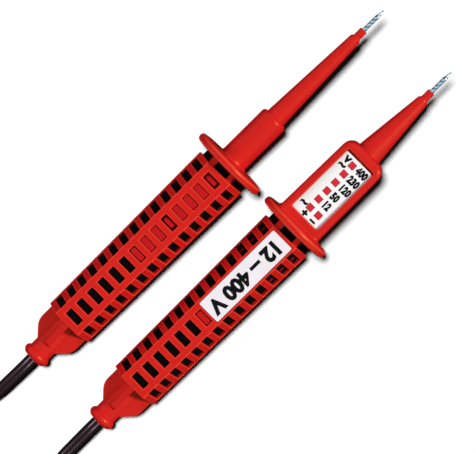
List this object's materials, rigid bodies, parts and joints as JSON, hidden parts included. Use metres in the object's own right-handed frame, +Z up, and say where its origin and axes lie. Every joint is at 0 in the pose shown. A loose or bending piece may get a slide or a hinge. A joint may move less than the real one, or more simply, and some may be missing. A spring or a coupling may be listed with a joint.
{
  "type": "two-pole voltage tester",
  "caption": "Hand-held electrical tester: a plain probe and a probe with a lamp display, red lattice grips, round hand guards and steel tips, joined by a flexible black lead.",
  "frame": {"origin": "on the surface the tester lies on, under the middle of the two handles, measured without the lead", "axes": "+X runs along the handles toward the probe tips, +Y from the display handle toward the plain one, +Z up"},
  "size_m": [0.3477, 0.0782, 0.0367],
  "materials": {
    "red_plastic": "satin moulded",
    "black_liner": "matt",
    "lead_jacket": "smooth glossy extruded",
    "plated_metal": "crimped, plated",
    "brass": "bare",
    "resistor_body": "matt coating",
    "probe_steel": "turned, plated",
    "white_plate": "smooth",
    "display_panel": "smooth",
    "circuit_board": "solder resist",
    "driver_chip": "matt moulded",
    "lamp": "smooth, translucent",
    "strap": "woven hook strap"
  },
  "bodies": {
    "root": {"plain_shell": "red_plastic", "plain_tail_plug": "red_plastic", "plain_liner": "black_liner", "plain_carrier": "red_plastic", "plain_lead_end": "lead_jacket", "plain_cable_clamp": "plated_metal", "plain_ferrule": "brass", "plain_resistor": "resistor_body", "plain_probe_pin": "probe_steel", "display_shell": "red_plastic", "display_tail_plug": "red_plastic", "display_liner": "black_liner", "display_carrier": "red_plastic", "display_lead_end": "lead_jacket", "display_cable_clamp": "plated_metal", "display_ferrule": "brass", "display_resistor": "resistor_body", "display_probe_pin": "probe_steel", "name_plate": "white_plate", "display_panel": "display_panel", "circuit_board": "circuit_board", "driver_chip": "driver_chip", "probe_contact": "brass", "led_plus": "lamp", "led_minus": "lamp", "led_12": "lamp", "led_50": "lamp", "led_120": "lamp", "led_230": "lamp", "led_400": "lamp", "lead_plain": "lead_jacket", "lead_coil": "lead_jacket", "lead_display": "lead_jacket", "coil_tie": "strap"}
  },
  "joints": []
}
